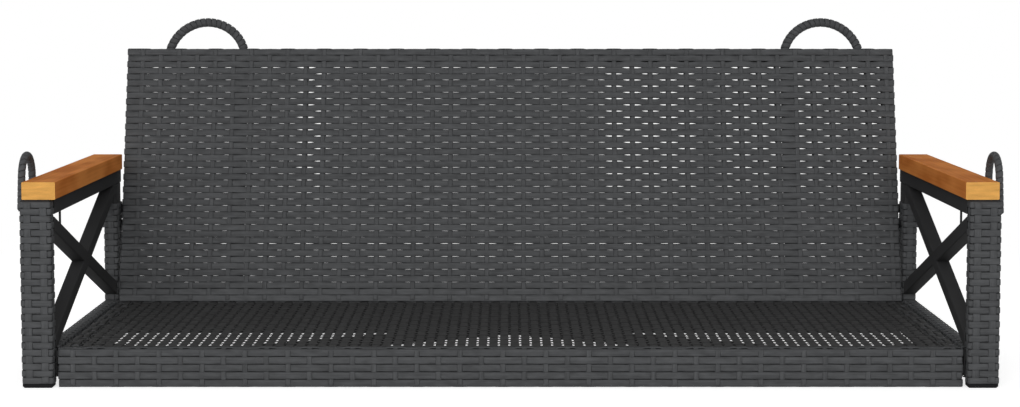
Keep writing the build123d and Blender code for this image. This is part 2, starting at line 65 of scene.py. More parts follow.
# A strand's section: across its width, then through its thickness, from one edge over the crown and back.
SECTION = np.array(
    ((-0.5, -0.05), (-0.38, 0.42), (0.0, 0.5), (0.38, 0.42), (0.5, -0.05), (0.38, -0.5), (-0.38, -0.5))
)
TURNS = np.arange(len(SECTION)) * 2 * math.pi / len(SECTION)
ROUND_SECTION = 0.5 * np.stack((np.sin(TURNS), np.cos(TURNS)), 1)
STRIP_FILL = 0.8  # share of its strip of the bake map that a strand takes
STRIP_ENDS = 0.004  # share of the strip's length kept for the cut ends
END_FILL = 0.8  # share of that length that a cut end takes
OWN_START = 10.0  # metres over which the strands' own maps start
PLATEAU = 2.8  # how flat a strand lies over a crossing
CLOSE = 0.0006  # least space between two points of a strand
BEND_POINTS = 4  # points round a corner of an outline
ROW_SHARES = tuple(step / 6 for step in range(6))  # points of a row between two crossings
WARP_SHARES = (0.0, 0.36, 0.64)  # points of a warp between two crossings
EDGE_FILL = 0.94  # share of their spacing that the strands along an edge fill
EDGE_BULGE = 1.9  # how much further the strands along an edge rise at their crossings
AIRY = (  # see-through stretches of the back: where each starts and ends, and how open it is
    (-0.376, -0.342, 0.85),
    (0.176, 0.328, 1.0),
    (0.388, 0.485, 1.0),
    (0.52, 0.55, 1.0),
    (0.55, 0.62, 0.5),
    (0.625, 0.68, 1.0),
)
AIRY_HEIGHTS = (0.36, 0.62)  # shares of the back's height between which they open
FADE = 0.012  # length over which the weave opens beside such a stretch
RAIL_ROWS = 2.2  # rows that the back's top and bottom rails take up
HEM_REACH = 0.018  # height over which the back's lower edge slopes to meet the seat
BACK_CORNER = 0.005  # rounding of the CAD back's edges
SEAT_TUCK = 0.0025  # how far past the seat's edges its strands end
SEAT_SINK = 0.0024  # how far under the seat's middle they end
WRAP_STEPS = 20  # points in each turn of a wrapping strand
WRAP_FOOT = 0.004  # how far under the back's upper edge a wrapping starts
ARCH_POINTS = {"back": 80, "front": 40}  # points along a loop's bend
CORE_TRIM = 1.8  # thicknesses of the wrapping by which a front loop's core is slimmer
SEEDS = {  # where the random draws of each group of strands start
    "back stray": 3,
    "back rows": 1,
    "back warps": 99,
    "back edges": 100,
    "apron": 20,
    "apron edges": 30,
    "seat": 7,
    "side frame": 40,
    "back loop": 60,
    "front loop": 61,
}

FLOOR_HALF = 40.0  # from the middle of the studio floor to its edges
FLOOR_LIT = 0.8  # how pale the shown floor is near the bench
FLOOR_GLOW = 0.7  # how much it glows there
SHADOW_REACH = (1.0, 1.8)  # distances from the middle between which the shown floor turns white
LIGHT_TARGET = (0.0, -0.05, 0.25)
LIGHTS = (  # name, place, size, setting that holds the power, and whether reflections show it
    ("front light", (-0.8, -8.8, 2.4), (6.4, 3.6), "key_power", True),
    ("rear light", (0.0, 4.2, 0.4), (3.0, 0.7), "back_power", False),
    ("left light", (-4.5, -0.6, 0.8), (2.4, 1.2), "side_power", False),
    ("right light", (4.5, -0.6, 0.8), (2.4, 1.2), "side_power", False),
)

SEAT_STEEL = [f"{name}_rail" for name in ("front", "rear", "left", "right")]
SEAT_STEEL += ["diagonal", "cross_front", "cross_rear", "left_corner_brace", "right_corner_brace"]
SIDE_STEEL = ["front_post", "rear_post", "arm_rail", "bottom_rail"]
SIDE_STEEL += ["long_brace", "lower_cross_brace", "upper_cross_brace"]
BACK_STEEL = ("stile", "inner_stile", "loop")
STEEL_NODES = (
    [f"seat_{name}" for name in SEAT_STEEL]
    + ["back_top_rail", "back_bottom_rail", "brace_stays"]
    + [f"back_{side}_{name}" for side in SIDES for name in BACK_STEEL]
    + [f"{side}_{name}" for side in SIDES for name in SIDE_STEEL]
)
PLASTIC_NODES = ("front_feet", "rear_feet", "arm_rail_caps", "side_spacers")
ZINC_NODES = ("frame_bolts", "bolt_washers", "bolt_nuts", "arm_screws")
WOOD_NODES = ("left_armrest", "right_armrest")


def a_length(name, description, default, least=0.0):
    """A length in metres that a user may change."""
    return bpy.props.FloatProperty(
        name=name, description=description, default=default, min=least, unit="LENGTH", precision=4
    )


def an_angle(name, description, degrees):
    """An angle that a user may change."""
    return bpy.props.FloatProperty(
        name=name, description=description, default=math.radians(degrees), subtype="ANGLE"
    )


def a_count(name, description, default):
    """A number of pieces that a user may change."""
    return bpy.props.IntProperty(name=name, description=description, default=default, min=1)


def a_colour(name, description, default):
    """A colour that a user may change."""
    return bpy.props.FloatVectorProperty(
        name=name, description=description, default=default, size=3, min=0.0, max=1.0, subtype="COLOR"
    )


def a_setting(name, description, default, unit="NONE"):
    """A setting of the camera or the light that a user may change."""
    return bpy.props.FloatProperty(name=name, description=description, default=default, unit=unit)


class BenchWeave(bpy.types.PropertyGroup):
    """Sizes of the woven skins."""

    strand_thickness: a_length("Strand thickness", "Thickness of a flat strand", 0.0013)
    strand_lift: a_length("Strand lift", "How far a strand rises and sinks at its crossings", 0.0007)
    skin_middle: a_length("Skin middle", "Depth of the middle of a woven skin under its face", 0.00125)
    skin_corner: a_length("Skin corner", "Bend of the strands round a tube's edges", 0.0035)
    row_sway: a_length("Row sway", "How far a row sways up and down where the weave is close", 0.00006)
    open_sway: a_length("Open sway", "How far a row sways where the weave is open", 0.00085)
    open_slimming: a_length("Open slimming", "How much narrower a row is where the weave is open", 0.00032)
    back_tilt: an_angle("Back tilt", "Lean of the back", 15.2)
    back_thickness: a_length("Back thickness", "Depth of the woven back", 0.026)
    back_row_pitch: a_length("Back row pitch", "Spacing of the rows on the back", 0.01157)
    back_row_width: a_length("Back row width", "Width of the strands in the back's rows", 0.01151)
    back_first_row: a_length("Back first row", "Middle of the lowest row over the lower edge", 0.00533)
    back_hem: a_length("Back hem", "How far the front of the back reaches down past its frame", 0.006)
    back_rows: a_count("Back rows", "Rows on the front of the back", 40)
    rear_lift_low: a_length("Lower rear lift", "Rise of the lowest row on the back's rear", 0.00246)
    rear_lift_high: a_length("Upper rear lift", "Rise of the top row on the back's rear", 0.00541)
    row_stray: a_length("Row stray", "How far each row strays from its place", 0.00008)
    back_warp_pitch: a_length("Back warp pitch", "Spacing of the upright strands on the back", 0.03304)
    back_first_warp: a_length("Back first warp", "First upright strand from the left side", 0.0287)
    back_warps: a_count("Back warps", "Upright strands on the back and round each long seat rail", 42)
    warp_width: a_length("Warp width", "Width of the strands that cross the rows", 0.0081)
    apron_warp_pitch: a_length("Apron warp pitch", "Spacing of the strands round the seat rails", 0.03325)
    front_warp_shift: a_length("Front warp shift", "Front strands moved to the right", 0.0048)
    apron_row_pitch: a_length("Apron row pitch", "Spacing of the strands along the seat rails", 0.0116)
    apron_row_width: a_length("Apron row width", "Width of the strands along the seat rails", 0.0114)
    rear_apron_proud: a_length("Rear apron proud", "How far the rear apron rises to the back", 0.0014)
    front_apron_hem: a_length("Front apron hem", "How far the front apron hangs under its rail", 0.0012)
    front_apron_reach: a_length("Front apron reach", "How far the front apron's ends reach out", 0.0018)
    post_row_pitch: a_length("Post row pitch", "Spacing of the rows round a post", 0.0111)
    post_row_width: a_length("Post row width", "Width of the strands round a post", 0.0101)
    post_warp_offset: a_length("Post warp offset", "Upright strands from the middle of a face", 0.0123)
    post_warp_width: a_length("Post warp width", "Width of the strands that run up a post", 0.0116)
    seat_pitch: a_length("Seat pitch", "Spacing of the seat strands from front to rear", 0.01675)
    seat_shift: a_length("Seat shift", "Seat strands moved to the right", -0.0016, -0.02)
    seat_width: a_length("Seat strand width", "Width of the seat strands from front to rear", 0.01335)
    seat_cross_width: a_length("Seat cross width", "Width of the strands across the seat", 0.0103)
    seat_cross_pitch: a_length("Seat cross pitch", "Spacing of the strands across the seat", 0.0215)
    seat_thickness: a_length("Seat strand thickness", "Thickness of the seat's strands", 0.0009)
    seat_lift: a_length("Seat strand lift", "How far the seat's strands rise and sink", 0.0005)
    wrap_pitch: a_length("Wrap pitch", "Advance of the wrapping strand per turn round a loop", 0.0095)
    wrap_width: a_length("Wrap width", "Width of the wrapping strand", 0.0093)
    wrap_thickness: a_length("Wrap thickness", "Thickness of the wrapping strand", 0.0021)
    loop_radius: a_length("Loop radius", "Bend of a back loop's middle line", 0.0695)
    loop_rod: a_length("Loop rod", "Diameter of a back loop's rod", 0.012)
    loop_drop: a_length("Loop drop", "Middle of the loop's bend under the back's upper edge", 0.018)
    front_loop_radius: a_length("Front loop radius", "Bend of a front loop's middle line", 0.036)
    front_loop_width: a_length("Front loop width", "Thickness of a front loop with its wrapping", 0.012)
    front_loop_splay: an_angle("Front loop splay", "Lean of a front loop's legs", 8.0)


class BenchColours(bpy.types.PropertyGroup):
    """Colours of the finishes."""

    strand: a_colour("Strand", "Flat plastic strand", (0.0765, 0.0785, 0.0815))
    # The seat's strands are thinner, but this darker colour is painted shade: it stands in for the shade
    # the seat lies in under the back and between the arms.
    seat_strand_painted_shade: a_colour("Seat strand", "Finer strand of the seat", (0.045, 0.045, 0.0454))
    steel: a_colour("Steel", "Coated steel", (0.039, 0.039, 0.04))
    wood: a_colour("Wood", "Oiled wood along the grain", (0.885, 0.327, 0.082))
    wood_late: a_colour("Late wood", "Darker parts of the wood's grain", (0.66, 0.2, 0.041))
    wood_end: a_colour("End grain", "Sawn ends of the wood", (0.75, 0.385, 0.1))
    plastic: a_colour("Plastic", "Feet, caps and spacers", (0.012, 0.012, 0.013))
    zinc: a_colour("Black zinc", "Plated fasteners", (0.06, 0.06, 0.064))
    floor: a_colour("Floor", "Pale studio floor", (0.6, 0.6, 0.6))


class BenchStage(bpy.types.PropertyGroup):
    """Camera and light."""

    camera_place: bpy.props.FloatVectorProperty(
        name="Camera place",
        description="Where the camera stands",
        default=(-0.0008, -3.5380, 0.6094),
        unit="LENGTH",
    )
    camera_pitch: an_angle("Camera pitch", "How far the camera looks down", 4.103)
    lens: a_setting("Lens", "Focal length", 74.16, "CAMERA")
    shift: a_setting("Shift", "Upright shift of the lens in pixels", -60.0)
    key_power: a_setting("Key", "Power of the front light", 535.0, "POWER")
    back_power: a_setting("Back", "Power of the rear light", 140.0, "POWER")
    side_power: a_setting("Sides", "Power of the light on each side", 14.0, "POWER")
    sky: a_setting("Sky", "Strength of the light from all round", 0.25)


def centre_and_size(node):
    """The middle and the side lengths of a CAD node's box."""
    low, high = (np.array(corner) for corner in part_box(node))
    return (low + high) / 2, high - low


class Outline:
    """The rounded rectangle that a strand follows round a tube, from the start of its front side."""

    def __init__(self, wide, deep, corner):
        self.corner = corner
        self.reach = np.array((deep / 2, wide / 2) * 2)
        self.flat = np.array((wide - 2 * corner, deep - 2 * corner) * 2)
        ends = np.cumsum(self.flat + corner * math.pi / 2)
        self.starts = np.concatenate(((0.0,), ends[:3]))
        self.length = ends[3]

    def spot(self, side, offset):
        """How far round the outline a point lies, given from the middle of one of the four sides."""
        return self.starts[side] + self.flat[side] / 2 + offset

    def bends(self):
        """Points along the four corners."""
        shares = np.linspace(0.0, 1.0, BEND_POINTS) * self.corner * math.pi / 2
        return (self.starts + self.flat)[:, None] + shares[None, :]

    def at(self, travel):
        """Places on the outline and the outward direction at each."""
        travel = np.mod(travel, self.length)
        side = np.searchsorted(self.starts, travel, side="right") - 1
        angle = side * math.pi / 2
        forward = np.stack((np.cos(angle), np.sin(angle)), 1)
        outward = np.stack((np.sin(angle), -np.cos(angle)), 1)
        past = travel - self.starts[side]
        straight = np.minimum(past, self.flat[side]) - self.flat[side] / 2
        turn = np.maximum(past - self.flat[side], 0.0) / self.corner
        facing = outward * np.cos(turn)[:, None] + forward * np.sin(turn)[:, None]
        middle = outward * (self.reach[side] - self.corner)[:, None] + forward * straight[:, None]
        return middle + self.corner * facing, facing


class Strands:
    """Flat strands gathered into one mesh. Each has its own strip of the bake map and its own tone."""

    def __init__(self, seed):
        self.random = np.random.default_rng(seed)
        self.points, self.quads, self.ends = [], [], []
        self.maps, self.end_maps, self.tones = [], [], []
        self.total = 0

    def add(self, centre, facing, width, thickness, closed, section=SECTION):
        """Lays one strand along a middle line, with its crown turned to facing. Its width may change."""
        edges = len(section)
        count = len(centre)
        along = np.roll(centre, -1, 0) - np.roll(centre, 1, 0) if closed else np.gradient(centre, axis=0)
        along /= np.linalg.norm(along, axis=1, keepdims=True)
        across = np.cross(along, facing)
        across /= np.linalg.norm(across, axis=1, keepdims=True)
        upward = np.cross(across, along)
        spread = section[:, 0] * np.broadcast_to(width, count)[:, None]
        rise = section[:, 1] * thickness
        rings = centre[:, None] + across[:, None] * spread[:, :, None]
        rings += upward[:, None] * rise[None, :, None]
        steps = np.linalg.norm(np.diff(centre[np.arange(count + closed) % count], axis=0), axis=1)
        travelled = np.concatenate(((0.0,), np.cumsum(steps)))
        first = np.arange(len(steps))
        second = (first + 1) % count
        edge = np.arange(edges)
        following = (edge + 1) % edges
        corners = (
            first[:, None] * edges + edge,
            first[:, None] * edges + following,
            second[:, None] * edges + following,
            second[:, None] * edges + edge,
        )
        self.quads.append(np.stack(corners, -1).reshape(-1, 4) + self.total)
        self.lay_maps(travelled, spread.mean(0), first, edge)
        if not closed:
            self.ends.append(np.stack((edge[::-1], edge + (count - 1) * edges)) + self.total)
            near = (section[:, 0] + 0.5) * STRIP_ENDS * END_FILL
            upright = len(self.tones) + section[:, 1] * STRIP_FILL + 0.5
            flat = np.stack((near, upright), -1)
            far = 1.0 - STRIP_ENDS * (1.0 + END_FILL) / 2
            self.end_maps.append(np.stack((flat[::-1], flat + (far, 0.0))))
        self.points.append(rings.reshape(-1, 3))
        self.tones.append((self.random.random(), count * edges))
        self.total += count * edges

    def lay_maps(self, travelled, spread, first, edge):
        """The strand's strip of the bake map, and its own map in metres along and across."""
        strip = len(self.tones)
        share = STRIP_ENDS + travelled / travelled[-1] * (1.0 - 2.0 * STRIP_ENDS)
        round_share = np.arange(len(SECTION) + 1) / len(SECTION)
        level = strip + (1.0 - STRIP_FILL) / 2 + round_share * STRIP_FILL
        start = self.random.random() * OWN_START
        ends = np.stack((first, first, first + 1, first + 1), -1)
        along = share[ends]
        metres = travelled[ends] + start
        upright = np.stack([level[edge], level[edge + 1], level[edge + 1], level[edge]], -1)
        wound = np.concatenate((spread, spread[:1]))
        sideways = np.stack([wound[edge], wound[edge + 1], wound[edge + 1], wound[edge]], -1)
        shape = (len(first), len(edge), 4)
        values = [np.broadcast_to(part[:, None], shape) for part in (along, metres)]
        values += [np.broadcast_to(part[None], shape) for part in (upright, sideways)]
        self.maps.append(np.stack(values, -1).reshape(-1, 4))

    def finish(self, name, node, material):
        """Makes the mesh and lets it stand for the CAD node."""
        quads = np.concatenate(self.quads)
        edges = len(SECTION)
        ends = np.concatenate(self.ends) if self.ends else np.zeros((0, edges), int)
        loops = np.concatenate((quads.ravel(), ends.ravel()))
        starts = np.concatenate((np.arange(len(quads)) * 4, quads.size + np.arange(len(ends)) * edges))
        mesh = bpy.data.meshes.new(name)
        mesh.vertices.add(self.total)
        mesh.vertices.foreach_set("co", np.concatenate(self.points).ravel())
        mesh.loops.add(len(loops))
        mesh.loops.foreach_set("vertex_index", loops)
        mesh.polygons.add(len(starts))
        mesh.polygons.foreach_set("loop_start", starts)
        smooth = np.concatenate((np.ones(len(quads), bool), np.zeros(len(ends), bool)))
        mesh.update(calc_edges=True)
        mesh.polygons.foreach_set("use_smooth", smooth)
        maps = np.concatenate(self.maps)
        end_maps = np.concatenate(self.end_maps).reshape(-1, 2) if self.end_maps else np.zeros((0, 2))
        bake = np.concatenate((maps[:, (0, 2)], end_maps))
        bake[:, 1] /= len(self.tones)
        own = np.concatenate((maps[:, (1, 3)], end_maps))
        for layer, values in (("OFBake", bake), ("Strand", own)):
            mesh.uv_layers.new(name=layer).uv.foreach_set("vector", values.ravel())
        tone = np.concatenate([np.full(points, value) for value, points in self.tones])
        mesh.attributes.new("tone", "FLOAT", "POINT").data.foreach_set("value", tone)
        mesh.materials.append(material)
        if mesh.validate():
            raise RuntimeError(f"{name}: the woven mesh was not sound")
        piece = bpy.data.objects.new(name, mesh)
        bpy.context.scene.collection.objects.link(piece)
        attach(piece, BODY)
        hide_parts(node)


def over_under(travel, crossings, first, length=None):
    """A strand's height from 1, outside, to -1, inside. It alternates from its first crossing on."""
    spots, numbers = crossings, np.arange(len(crossings))
    if length:
        spots = np.concatenate((crossings[-1:] - length, crossings, crossings[:1] + length))
        numbers = np.arange(-1, len(crossings) + 1)
    beat = np.cos(math.pi * np.interp(travel, spots, numbers)) * first
    return np.tanh(PLATEAU * beat) / math.tanh(PLATEAU)


def spaced(crossings, shares, extra, length=None):
    """Points along a strand: shares of each gap between crossings and extra points, none too close."""
    following = np.append(crossings[1:], crossings[0] + length) if length else crossings[1:]
    gaps = following - crossings[: len(following)]
    points = (crossings[: len(following), None] + gaps[:, None] * np.array(shares)[None, :]).ravel()
    points = np.concatenate((points, np.ravel(extra)))
    points = np.sort(np.mod(points, length) if length else points)
    kept = points[np.concatenate(((True,), np.diff(points) > CLOSE))]
    if length and kept[0] + length - kept[-1] < CLOSE:
        kept = kept[:-1]
    return kept


class Panel:
    """A woven skin round a frame or tube: rows round its flat section, and warps over its ends."""

    def __init__(self, sizes, centre, directions, extents, rows, warps, widths, side_warp=False):
        self.sizes = sizes
        self.centre = centre
        self.wide_way, self.tall_way, self.deep_way = directions
        self.wide, self.tall, self.deep = (extent - 2 * sizes.skin_middle for extent in extents)
        self.rows = rows
        self.warps = warps
        self.row_width, self.warp_width = widths
        self.side_warp = side_warp
        self.edge_counts = (1, 1) if side_warp else (2, 2)
        self.phase = 1
        self.short_low, self.short_high = 0, 0
        self.level_round = Outline(self.wide, self.deep, sizes.skin_corner)
        self.upright_round = Outline(self.tall, self.deep, sizes.skin_corner)

    def rear_lift(self, row, across):
        """How much higher a row lies on the rear than on the front."""
        return np.zeros_like(across)

    def openness(self, row, across, share):
        """How far a row parts from the next, from 0 to 1. Share is 0 on the front and 1 on the rear."""
        return np.zeros_like(across)

    def rear_levels(self, across):
        """Heights of the rear rows, from the lowest up."""
        spot = np.array(across)
        whole = range(self.short_low, len(self.rows) - self.short_high)
        return np.array([self.rows[row] + self.rear_lift(row, spot) for row in whole])

    def settle(self, points):
        """Moves points of a strand to where the skin really lies."""
        return points

    def lay(self, strands, outline, ways, axis, travel, beat, level, width, closed=True):
        """Lays a strand round or along an outline, at a level on the axis."""
        place, facing = outline.at(travel)
        place = place + facing * (beat * self.sizes.strand_lift)[:, None]
        points = self.centre + place[:, :1] * ways[0] + place[:, 1:] * ways[1] + level[:, None] * axis
        normals = facing[:, :1] * ways[0] + facing[:, 1:] * ways[1]
        strands.add(self.settle(points), normals, width, self.sizes.strand_thickness, closed)

    def lay_straight(self, strands, outline, ways, axis, spot, beat, level, width):
        """Lays a strand along the axis, at one spot of an outline."""
        self.lay(strands, outline, ways, axis, np.full(len(level), spot), beat, level, width, False)

    def lay_rows(self, strands, first, last):
        """Rows from first up to last. Each is a ring round the skin, but a short row ends on its sides."""
        sizes, outline = self.sizes, self.level_round
        sides = [[outline.spot(side, 0.0)] if self.side_warp else [] for side in (1, 3)]
        rear = outline.spot(2, -self.warps[::-1])
        crossings = np.concatenate((outline.spot(0, self.warps), sides[0], rear, sides[1]))
        ring = spaced(crossings, ROW_SHARES, outline.bends(), outline.length)
        ends = outline.spot(3, 0.0) - outline.length, outline.spot(1, 0.0)
        ahead = np.where(ring > outline.spot(2, 0.0), ring - outline.length, ring)
        short = np.sort(ahead[(ahead > ends[0]) & (ahead < ends[1])])
        ways = (self.wide_way, self.deep_way)
        for row in range(first, last):
            closed = self.short_low <= row < len(self.rows) - self.short_high
            travel = ring if closed else short
            first_beat = self.phase * (-1) ** row
            beat = over_under(np.mod(travel, outline.length), crossings, first_beat, outline.length)
            place = outline.at(travel)[0]
            share = place[:, 1] / self.deep + 0.5
            across = place[:, 0]
            apart = self.openness(row, across, share)
            sway = sizes.row_sway + (sizes.open_sway - sizes.row_sway) * apart
            level = self.rows[row] + share * self.rear_lift(row, across) + beat * sway
            width = self.row_width - sizes.open_slimming * apart
            self.lay(strands, outline, ways, self.tall_way, travel, beat, level, width, closed)

    def edge_spots(self, across):
        """Where the strands along the upper and the lower edge lie, between the front and the rear rows."""
        outline = self.upright_round
        rear = self.rear_levels(across)
        upper = outline.spot(0, self.rows[-1]), outline.spot(2, -rear[-1])
        lower = outline.spot(2, -rear[0]), outline.spot(0, self.rows[0]) + outline.length
        return [
            start + (end - start) * np.arange(1, count + 1) / (count + 1)
            for (start, end), count in zip((upper, lower), self.edge_counts)
        ]

    def lay_warps(self, strands):
        """Warps, each a ring over the front, the upper edge, the rear and the lower edge."""
        outline = self.upright_round
        for number, across in enumerate(self.warps):
            upper, lower = self.edge_spots(across)
            rear = outline.spot(2, -self.rear_levels(across)[::-1])
            crossings = np.concatenate((outline.spot(0, self.rows), upper, rear, lower))
            travel = spaced(crossings, WARP_SHARES, outline.bends(), outline.length)
            beat = over_under(travel, crossings, -self.phase * (-1) ** number, outline.length)
            level = np.full(len(travel), across)
            ways = (self.tall_way, self.deep_way)
            self.lay(strands, outline, ways, self.wide_way, travel, beat, level, self.warp_width)

    def lay_edges(self, strands):
        """Straight strands along the upper and lower edges, and up each side that has a side warp."""
        outline = self.upright_round
        spots = self.edge_spots(0.0)
        front, rear = len(self.rows), len(self.rows) - self.short_low - self.short_high
        firsts = front, front + self.edge_counts[0] + rear
        ends = np.array((-self.wide / 2, self.wide / 2))
        shares = ROW_SHARES if len(self.warps) > 1 else ()
        level = spaced(self.warps, shares, np.concatenate((ends, self.warps)))
        ways = (self.tall_way, self.deep_way)
        for edge, first in zip(spots, firsts):
            width = EDGE_FILL * min(np.diff(edge)) if len(edge) > 1 else self.row_width
            for number, spot in enumerate(edge, first):
                beat = over_under(level, self.warps, self.phase * (-1) ** number)
                beat = np.where(beat > 0.0, EDGE_BULGE * beat, beat)
                self.lay_straight(strands, outline, ways, self.wide_way, spot, beat, level, width)
        if not self.side_warp:
            return
        outline = self.level_round
        ends = np.array((-self.tall / 2, self.tall / 2))
        ways = (self.wide_way, self.deep_way)
        for side, number in ((1, len(self.warps)), (3, 2 * len(self.warps) + 1)):
            across = np.array(self.wide / 2 if side == 1 else -self.wide / 2)
            lifts = np.array([self.rear_lift(row, across) for row in range(len(self.rows))])
            rows = self.rows + 0.5 * lifts
            level = spaced(rows, WARP_SHARES, np.append(ends, rows[-1]))
            beat = over_under(level, rows, -self.phase * (-1) ** number)
            spot = outline.spot(side, 0.0)
            self.lay_straight(strands, outline, ways, self.tall_way, spot, beat, level, self.warp_width)


class BackPanel(Panel):
    """The back's skin. Its rear rows rise towards the top, and its rows part where light comes through."""

    def __init__(self, *given):
        super().__init__(*given, side_warp=True)
        self.edge_counts = (2, 4)
        self.short_low, self.short_high = 1, 1
        names = [f"back_{side}_{name}" for side in SIDES for name in ("stile", "inner_stile")]
        self.tubes = [sorted(corner[0] - self.centre[0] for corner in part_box(name)) for name in names]

    def openness(self, row, across, share):
        height = row / (len(self.rows) - 1)
        open_parts = [
            np.interp(across, (start - FADE, start, end, end + FADE), (0.0, part, part, 0.0))
            for start, end, part in AIRY
        ]
        front = np.max(open_parts, axis=0) * np.interp(height, AIRY_HEIGHTS, (0.0, 1.0))
        over_rail = abs(self.rows[row]) > self.tall / 2 - RAIL_ROWS * self.sizes.back_row_pitch
        over_stile = np.any([(across > low) & (across < high) for low, high in self.tubes], axis=0)
        return np.where(over_rail | over_stile, 0.0, np.maximum(front, share))

    def settle(self, points):
        offsets = points - self.centre
        share = offsets @ self.deep_way / self.deep + 0.5
        low = np.clip((HEM_REACH - self.tall / 2 - offsets @ self.tall_way) / HEM_REACH, 0.0, 1.0)
        return points + (self.sizes.back_hem * share * low)[:, None] * self.tall_way

    def rear_lift(self, row, across):
        low, high = self.sizes.rear_lift_low, self.sizes.rear_lift_high
        return np.full_like(across, low + (high - low) * row / (len(self.rows) - 1))


def even_places(extent, pitch):
    """Places spaced evenly about the middle of an extent, with half a pitch left at each end."""
    count = max(1, round(extent / pitch))
    return (np.arange(count) - (count - 1) / 2) * extent / count


class Sock:
    """A node's output that takes part in Python expressions, each of which adds a Math node."""

    def __init__(self, finish, socket):
        self.finish = finish
        self.socket = socket

    def maths(self, operation, *values):
        return self.finish.node("ShaderNodeMath", {"operation": operation}, dict(enumerate(values)))

    def __add__(self, other):
        return self.maths("ADD", self, other)

    def __radd__(self, other):
        return self.maths("ADD", other, self)

    def __sub__(self, other):
        return self.maths("SUBTRACT", self, other)

    def __rsub__(self, other):
        return self.maths("SUBTRACT", other, self)

    def __mul__(self, other):
        return self.maths("MULTIPLY", self, other)

    def __rmul__(self, other):
        return self.maths("MULTIPLY", other, self)

    def __pow__(self, other):
        return self.maths("POWER", self, other)

    def __rpow__(self, other):
        return self.maths("POWER", other, self)

    def __abs__(self):
        return self.maths("ABSOLUTE", self)


class Finish:
    """A material or world whose nodes are added one by one."""

    def __init__(self, owner):
        owner.use_nodes = True
        self.tree = owner.node_tree
        self.tree.nodes.clear()

    def node(self, kind, settings=None, inputs=None, output=0):
        """Adds a node: its settings first, then the values or links of its sockets."""
        added = self.tree.nodes.new(kind)
        for name, value in (settings or {}).items():
            setattr(added, name, value)
        for key, value in (inputs or {}).items():
            if isinstance(value, Sock):
                self.tree.links.new(value.socket, added.inputs[key])
            else:
                added.inputs[key].default_value = value
        return Sock(self, added.outputs[output]) if len(added.outputs) else added

    def noise(self, vector, scale, detail=2.0, roughness=0.5):
        """Noise from 0 to 1. Its scale in waves per metre is one number, or one for each axis."""
        if isinstance(scale, tuple):
            vector, scale = self.stretched(vector, scale), 1.0
        inputs = {"Vector": vector, "Scale": scale, "Detail": detail, "Roughness": roughness}
        return self.node("ShaderNodeTexNoise", None, inputs)

    def stretched(self, vector, scale):
        """Coordinates scaled along each axis."""
        return self.node("ShaderNodeVectorMath", {"operation": "MULTIPLY"}, {0: vector, 1: scale})

    def blend(self, factor, first, second):
        """Two colours mixed. The Mix node's colours have the numbers 6 and 7, and its result 2."""
        return self.node("ShaderNodeMix", {"data_type": "RGBA"}, {0: factor, 6: first, 7: second}, 2)

    def shaded(self, colour, shade):
        """A colour made lighter or darker by a value."""
        return self.node("ShaderNodeVectorMath", {"operation": "SCALE"}, {0: colour, "Scale": shade})

    def bump(self, height, distance, strength):
        """A normal from a height."""
        inputs = {"Height": height, "Distance": distance, "Strength": strength}
        return self.node("ShaderNodeBump", None, inputs)

    def surface(self, inputs):
        """A principled surface, linked to the output."""
        shader = self.node("ShaderNodeBsdfPrincipled", None, inputs)
        self.node("ShaderNodeOutputMaterial", None, {"Surface": shader})

    def place(self):
        """Places on the object, in metres."""
        return self.node("ShaderNodeTexCoord", None, None, "Object")


def plastic_strand(finish, colour):
    """Extruded plastic strand: fine lines along it, and a tone of its own for each strand."""
    own = finish.node("ShaderNodeUVMap", {"uv_map": "Strand"})
    tone = finish.node("ShaderNodeAttribute", {"attribute_name": "tone"}, None, "Fac")
    lines = finish.noise(own, (9.0, 700.0, 0.0), 3.0, 0.6)
    cloud = finish.noise(own, (45.0, 120.0, 0.0))
    shade = 0.1 + tone * 0.2 + lines * 0.8 + cloud * 0.8
    finish.surface(
        {
            "Base Color": finish.shaded(tuple(colour), shade),
            "Roughness": 0.6 + lines * 0.2,
            "Specular IOR Level": 0.1,
            "Normal": finish.bump(lines, 0.0002, 0.4),
        }
    )


def strand_finish(finish, colours):
    """The strand of the back, the posts and the rails."""
    plastic_strand(finish, colours.strand)


def seat_painted_shade_finish(finish, colours):
    """The seat's strand, painted darker than the others: painted shade for the shade the seat lies in under
    the back and between the arms.
    """
    plastic_strand(finish, colours.seat_strand_painted_shade)


def steel_finish(finish, colours):
    """Powder coat on steel: a fine orange peel and a little dust."""
    peel = finish.noise(finish.place(), 700.0)
    cloud = finish.noise(finish.place(), 22.0, 3.0)
    finish.surface(
        {
            "Base Color": finish.shaded(tuple(colours.steel), 0.75 + cloud * 0.5),
            "Roughness": 0.66 + cloud * 0.16,
            "Specular IOR Level": 0.06,
            "Normal": finish.bump(peel, 0.0002, 0.35),
        }
    )


